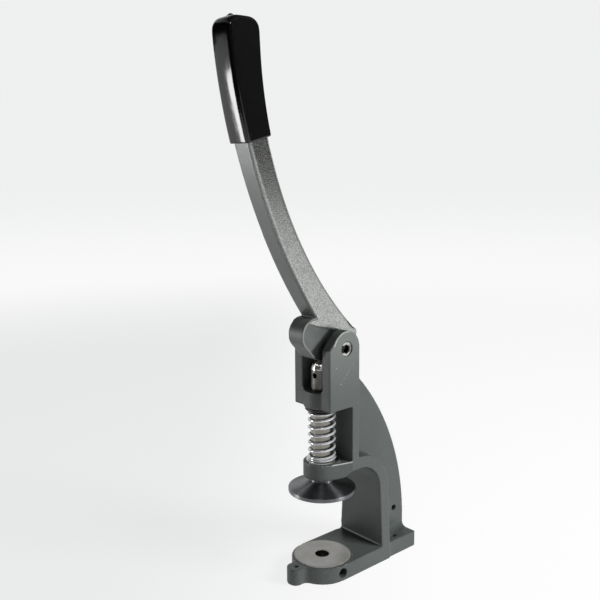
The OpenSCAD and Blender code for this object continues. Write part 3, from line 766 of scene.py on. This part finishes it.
# %% Slanted rim and drip
RIM_Y, RIM_Z, RIM_SLANT = -68.7, 376.9, math.radians(14)
DRIP_Y, DRIP_Z, DRIP_R = -88.7, 462.6, 3.2
bpy.ops.object.mode_set(mode="EDIT")
bpy.ops.mesh.select_all(action="SELECT")
bpy.ops.mesh.bisect(plane_co=(0, RIM_Y * MM, RIM_Z * MM),
                    plane_no=(0, -math.sin(RIM_SLANT), math.cos(RIM_SLANT)),
                    use_fill=True, clear_inner=True)
bpy.ops.object.mode_set(mode="OBJECT")
bpy.ops.object.select_all(action="DESELECT")
bpy.ops.mesh.primitive_uv_sphere_add(segments=32, ring_count=24, radius=DRIP_R * MM,
                                     location=(0, DRIP_Y * MM, DRIP_Z * MM))
drip = bpy.context.active_object
pick(grip)
drip.select_set(True)
bpy.ops.object.join()
print("grip and drip:", len(grip.data.polygons), "faces")


# %% Grip
def ramp(value, low, high):
    """0 below low, 1 above high and an even slope between."""
    return min(max((value - low) / (high - low), 0), 1)


CROWN, CROWN_DEEP, DRIP_TIP = 0.7, 10, (0, DRIP_Y, 464)
SOFTER, ROUND_TOP, OFF_DRIP = (385, 455), (444, 454), (3, 6)
skin(grip, 0.6)
melt(grip, 10, lambda point: 1.0)
melt(grip, 40, lambda point: ramp(point.z, *SOFTER))
melt(grip, 40, lambda point: ramp(point.z, *ROUND_TOP) * ramp(math.dist(point, DRIP_TIP), *OFF_DRIP))
for point in grip.data.vertices:
    behind = arc_back(FRONT, -CROWN_DEEP, point.co.z / MM)
    near = ramp(behind - point.co.y / MM, 0, CROWN_DEEP)
    point.co.y += CROWN * MM * near * (point.co.x / (GRIP_THICK / 2 * MM)) ** 2
settle(grip, "grip_sleeve", "lever", "grip_vinyl", vinyl)

# %% [markdown]
# ## The return spring
# The spring is one wire wound in an open helix whose end turns lie shut and flat. A curve with a round
# profile is the natural way to draw a wire. Its height follows the turns: slow at both ends, where the turns
# are closed, and even between. It is made a mesh. The spring is squeezed when the ram comes down.

# %% Height of the spring's wire
TURNS, FLAT_TURNS, LOW_TURNS, HIGH_TURNS = 8.1, 0.5, 1.45, 0.95
wire_r, coil_r, shut = 1.1 * MM, 11.15 * MM, 2.26 * MM
seat_z, top_z = 104.6 * MM, 149.6 * MM


def wire_height(turns):
    """The wire's height some turns from its lower end: closed end turns, open ones between."""
    low, high = seat_z + wire_r, top_z - wire_r
    first, last = low + shut * (LOW_TURNS - FLAT_TURNS), high - shut * HIGH_TURNS
    if turns < LOW_TURNS:
        return low + shut * max(turns - FLAT_TURNS, 0)
    if turns < TURNS - HIGH_TURNS:
        return first + (last - first) * (turns - LOW_TURNS) / (TURNS - HIGH_TURNS - LOW_TURNS)
    return high - shut * (TURNS - turns)


print("wire from", round(wire_height(0) / MM, 1), "to", round(wire_height(TURNS) / MM, 1), "mm up")

# %% Return spring
PER_TURN, START = 40, math.radians(146)
curve = bpy.data.curves.new("spring_wire", "CURVE")
curve.dimensions = "3D"
curve.bevel_depth, curve.bevel_resolution, curve.use_fill_caps = wire_r, 4, True
count = int(TURNS * PER_TURN) + 1
line = curve.splines.new("POLY")
line.points.add(count - 1)
for i, point in enumerate(line.points):
    turns = TURNS * i / (count - 1)
    angle = START + turns * math.tau
    point.co = (coil_r * math.cos(angle), coil_r * math.sin(angle), wire_height(turns), 1)
spring = bpy.data.objects.new("coil_spring", curve)
bpy.context.collection.objects.link(spring)
pick(spring)
bpy.ops.object.convert(target="MESH")
settle(spring, "return_spring", "frame", "spring_wire", chrome)
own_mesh(spring)

# %% [markdown]
# ## Turned pieces and screws
# The ram, its foot, the washers and the screws come off a lathe, so they keep their CAD forms and only get
# the fine breaks that a turner files on every edge. Two edges are wider: the ram's upper one, which the cam
# slides on, and the mouth of the pivot's key socket. The ram's round top is polished, and the socket is
# painted
# darker inside as painted shade: their faces are found by place and get the second finish.

# %% Rules for the ram and the pivot, in mm
DOME_Z, DOME_R, POLISHED_Z = 187, 8, 186.0
MOUTH_X, FLOOR_X, SOCKET_R, MOUTH_R = 20, 12, 4, 4.6


def ram_edge(point):
    """The full round on the ram's upper edge, and a fine break elsewhere."""
    return 1.0 if point.z > DOME_Z and point.xy.length > DOME_R else 0.09


def ram_top(point, normal):
    """The polished top."""
    return point.z > POLISHED_Z


def socket_mouth(point):
    """The full break at the mouth of the pivot's socket, and a smaller one elsewhere."""
    return 1.0 if point.x > MOUTH_X and from_pivot(point) < SOCKET_R else 0.4


def socket_inside(point, normal):
    """The socket's walls, floor and mouth."""
    within = point.x > FLOOR_X and from_pivot(point) < MOUTH_R
    return within and (abs(normal.x) < 0.95 or point.x < MOUTH_X)


print("rules:", ", ".join(rule.__name__ for rule in (ram_edge, ram_top, socket_mouth, socket_inside)))


# %% Turned pieces
def turned(node, name, body, slot, width, finishes, second=None, rule=lambda point: 1.0):
    """A lathe piece with edges broken by `width` mm; faces where `second` is true get the second finish."""
    obj = from_node(node, name)
    round_edges(obj, width, rule)
    settle(obj, node, body, slot, *finishes)
    if second:
        for face in obj.data.polygons:
            face.material_index = int(second(face.center / MM, face.normal))
    return obj


turned("ram_rod", "ram_shaft", "ram", "ram_steel", 3.2, (ground, polished), ram_top, ram_edge)
foot = turned("ram_foot", "ram_disc", "ram", "black_steel", 0.5, (black,))
turned("snap_ring", "spring_ring", "ram", "black_steel", 0.15, (black,))
turned("cup_washer", "upper_washer", "ram", "black_steel", 0.3, (dark,))
turned("seat_washer", "lower_washer", "frame", "bright_steel", 0.2, (bright,))
# Painted shade: the socket's walls, floor and mouth get the darker ground steel.
turned("pivot_screw", "lever_axle", "frame", "bright_steel", 1.0, (bright, ground),
       socket_inside, socket_mouth)
turned("die_screw", "clamp_screw", "die_clamp", "black_steel", 0.3, (dark,))

# %% [markdown]
# ## Studio
# The press stands on a white table. A large lamp at the right and back lights it and isn't mirrored. Three
# more only show as reflections: a low strip at the front left draws the long streak on the grip, a small one
# above the camera sets dots on the round metal, and one at the right makes the second fan on the ram's foot.
# Light linking keeps that last one to the foot alone. The table fades into a white world, which the camera,
# the metal and any glass see at strength 1, while the light that it throws on the press is much weaker. Black
# cards stand round the table, unseen by the camera, and keep the vinyl and the steel dark, as photographers
# do with black cloth.

# %% Table
TABLE_R, TABLE_Z, FADE_FROM, FADE_TO, BRIGHTER_WAY = 3.0, -0.0004, 0.8, 1.9, (0.663, 0.749)
SEEING_RAYS = ("Is Camera Ray", "Is Glossy Ray", "Is Transmission Ray")


def looked_at(finish):
    """1 for what the camera sees, straight or by way of metal and glass, and 0 for light on the press."""
    ray = finish.node("LightPath").socket.node.outputs
    return most(*(Value(finish, ray[name]) for name in SEEING_RAYS))


bpy.ops.object.select_all(action="DESELECT")
bpy.ops.mesh.primitive_circle_add(vertices=96, radius=TABLE_R, fill_type="NGON", location=(0, 0, TABLE_Z))
table = bpy.context.active_object
table.name = "table"
white = Finish("white_table", Base_Color=tone(232, 233, 232), Roughness=0.7, Specular_IOR_Level=0.2)
x, y, _ = axes(white)
across = x * BRIGHTER_WAY[0] + y * BRIGHTER_WAY[1]
# Painted shadow and light: the table's glow is painted darker to the left, where the press's shadow falls.
painted_table_shade = blend(white, across.step(-0.20, 0.12), tone(238, 239, 239), tone(254, 254, 254))
glow = white.node("Emission", sockets={"Color": painted_table_shade, "Strength": 1.06})
pale = white.node("MixShader", sockets={0: looked_at(white) * 0.84, 1: white.main, 2: glow})
shown = from_axis(white).step(FADE_TO, FADE_FROM)
white.show(white.node("MixShader", sockets={0: shown, 1: white.node("BsdfTransparent"), 2: pale}))
table.data.materials.append(white.owner)
table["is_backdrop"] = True
print("table:", len(white.tree.nodes), "nodes")

# %% World
studio = Finish("studio", "worlds", "Background", Color=(0.93, 0.97, 1.0, 1), Strength=0.085)
scene.world = studio.owner
_, _, rise = axes(studio)
backdrop = blend(studio, rise.step(-0.03, -0.14), tone(239, 240, 240), tone(248, 249, 248))
ray = studio.node("LightPath").socket.node.outputs
ceiling = rise.step(0.35, 0.75) * Value(studio, ray["Is Glossy Ray"])
backdrop = blend(studio, ceiling, backdrop, tone(60, 62, 64))
sky = studio.node("Background", sockets={"Color": backdrop, "Strength": 1.0})
studio.show(studio.node("MixShader", sockets={0: looked_at(studio), 1: studio.main, 2: sky}))
print("studio:", len(studio.tree.nodes), "nodes")


# %% Lamps
def aim(obj, spot, target):
    """Puts an object at a spot with its -Z, a lamp's shining side, towards a target."""
    way = Vector(target) - Vector(spot)
    obj.matrix_world = Matrix.Translation(spot) @ way.to_track_quat("-Z", "Y").to_matrix().to_4x4()


def lamp(name, spot, target, width, height, watts, mirrored=True, lights=True):
    """A lamp that the camera doesn't see. It can be mirrored, throw light on the press, or both."""
    light = bpy.data.lights.new(name, "AREA")
    light.shape, light.size, light.size_y, light.energy = "RECTANGLE", width, height, watts
    obj = bpy.data.objects.new(name, light)
    obj.visible_camera, obj.visible_glossy, obj.visible_diffuse = False, mirrored, lights
    bpy.context.collection.objects.link(obj)
    aim(obj, spot, target)
    return obj


lamp("key_lamp", (1.10, 0.55, 0.90), (0, 0, 0.2), 0.6, 0.6, 23, mirrored=False)
lamp("streak_lamp", (-0.56, -0.66, 0.175), (0, -0.1, 0.175), 0.17, 0.34, 2.7, lights=False)
lamp("front_lamp", (0.60, -0.66, 0.98), (0, 0, 0.2), 0.12, 0.12, 1.1, lights=False)
foot_lamp = lamp("foot_lamp", (1.01, 0.42, 0.45), (0, 0, 0.1), 0.22, 0.45, 5.0, lights=False)
foot_lamp.light_linking.receiver_collection = bpy.data.collections.new("lit_by_foot_lamp")
foot_lamp.light_linking.receiver_collection.objects.link(foot)
print("lamps:", ", ".join(sorted(light.name for light in bpy.data.lights)))

# %% Black cards
CARD_AWAY, CARD_WIDTH, CARD_TOP, CARDS_Y = 1.25, 1.2, 1.3, -0.05
flock = Finish("card_black", Base_Color=tone(22, 22, 23), Roughness=0.9)


def card(angle, low):
    """A black card that the metal sees and the camera doesn't, at an angle in degrees, from a height up."""
    way = Vector((math.cos(math.radians(angle)), math.sin(math.radians(angle)), 0))
    middle = way * CARD_AWAY + Vector((0, CARDS_Y, (low + CARD_TOP) / 2))
    bpy.ops.object.select_all(action="DESELECT")
    bpy.ops.mesh.primitive_plane_add(size=1)
    obj = bpy.context.active_object
    obj.name = f"card_{angle}"
    aim(obj, middle, middle - way)
    obj.scale = (CARD_WIDTH, CARD_TOP - low, 1)
    obj.data.materials.append(flock.owner)
    obj.visible_camera = obj.visible_shadow = obj.visible_diffuse = False
    obj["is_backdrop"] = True


lower_edges = {-150: 0.46, -100: 0.02, -50: 0.02, 0: 0.30, 50: 0.25, 100: 0.28}
for angle, low in lower_edges.items():
    card(angle, low)
print("cards:", len(lower_edges))

# %% [markdown]
# ## Sizes
# The last cell prints the CAD model's box and the dressed press's box.

# %% Sizes
low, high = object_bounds()
boxes = [[round(length / MM, 1) for length in size] for size in (cad_high - cad_low, high - low)]
print("CAD box", boxes[0], "dressed", boxes[1])
